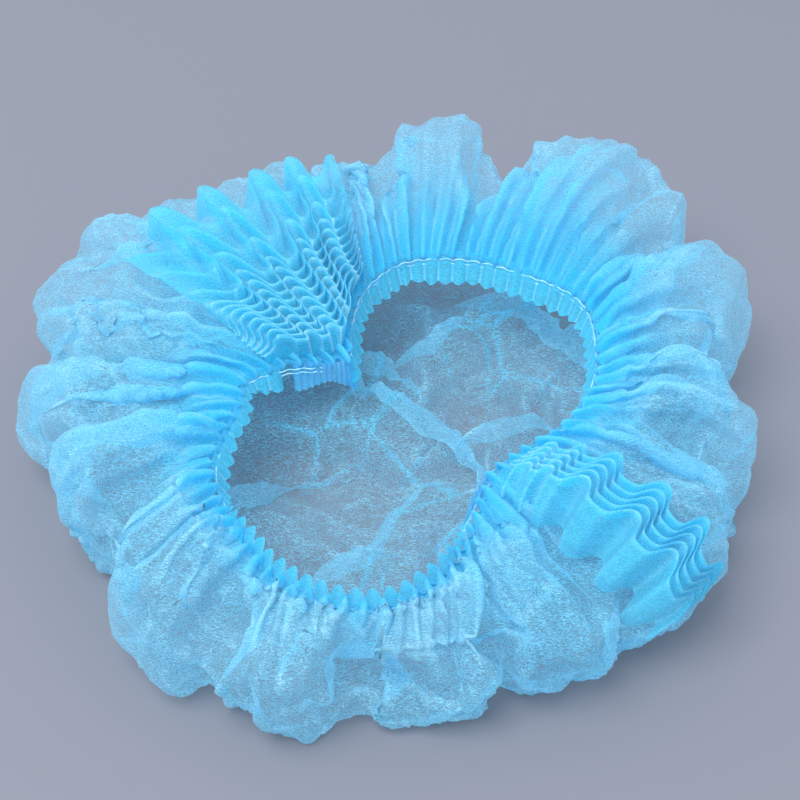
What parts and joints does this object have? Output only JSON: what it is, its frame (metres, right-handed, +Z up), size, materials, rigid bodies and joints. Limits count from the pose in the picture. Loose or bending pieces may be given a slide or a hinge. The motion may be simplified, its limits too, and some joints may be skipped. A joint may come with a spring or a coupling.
{
  "type": "disposable bouffant hairnet",
  "caption": "Pleated non-woven bouffant cap lying open on a table, with puffed crown, elastic opening, ruffled hem and bunched pleats at both welded ends.",
  "frame": {"origin": "middle of the cap's box, on the table that it lies on", "axes": "+Z up out of the opening; +X to the right and +Y away from the viewer, who looks at the longer lobe of the opening first"},
  "size_m": [0.2672, 0.277, 0.0749],
  "materials": {
    "spunbond_cloth": "matt, slightly see-through",
    "gathered_cloth": "matt, layered",
    "welded_cloth": "pressed, slightly glossy",
    "elastic": "matt"
  },
  "bodies": {
    "root": {"crown_panel": "spunbond_cloth", "hem_front": "gathered_cloth", "hem_back": "gathered_cloth", "elastic_front": "elastic", "elastic_back": "elastic", "pleat_stack_left": "gathered_cloth", "pleat_stack_right": "gathered_cloth", "end_tab_left": "welded_cloth", "end_tab_right": "welded_cloth"}
  },
  "joints": []
}
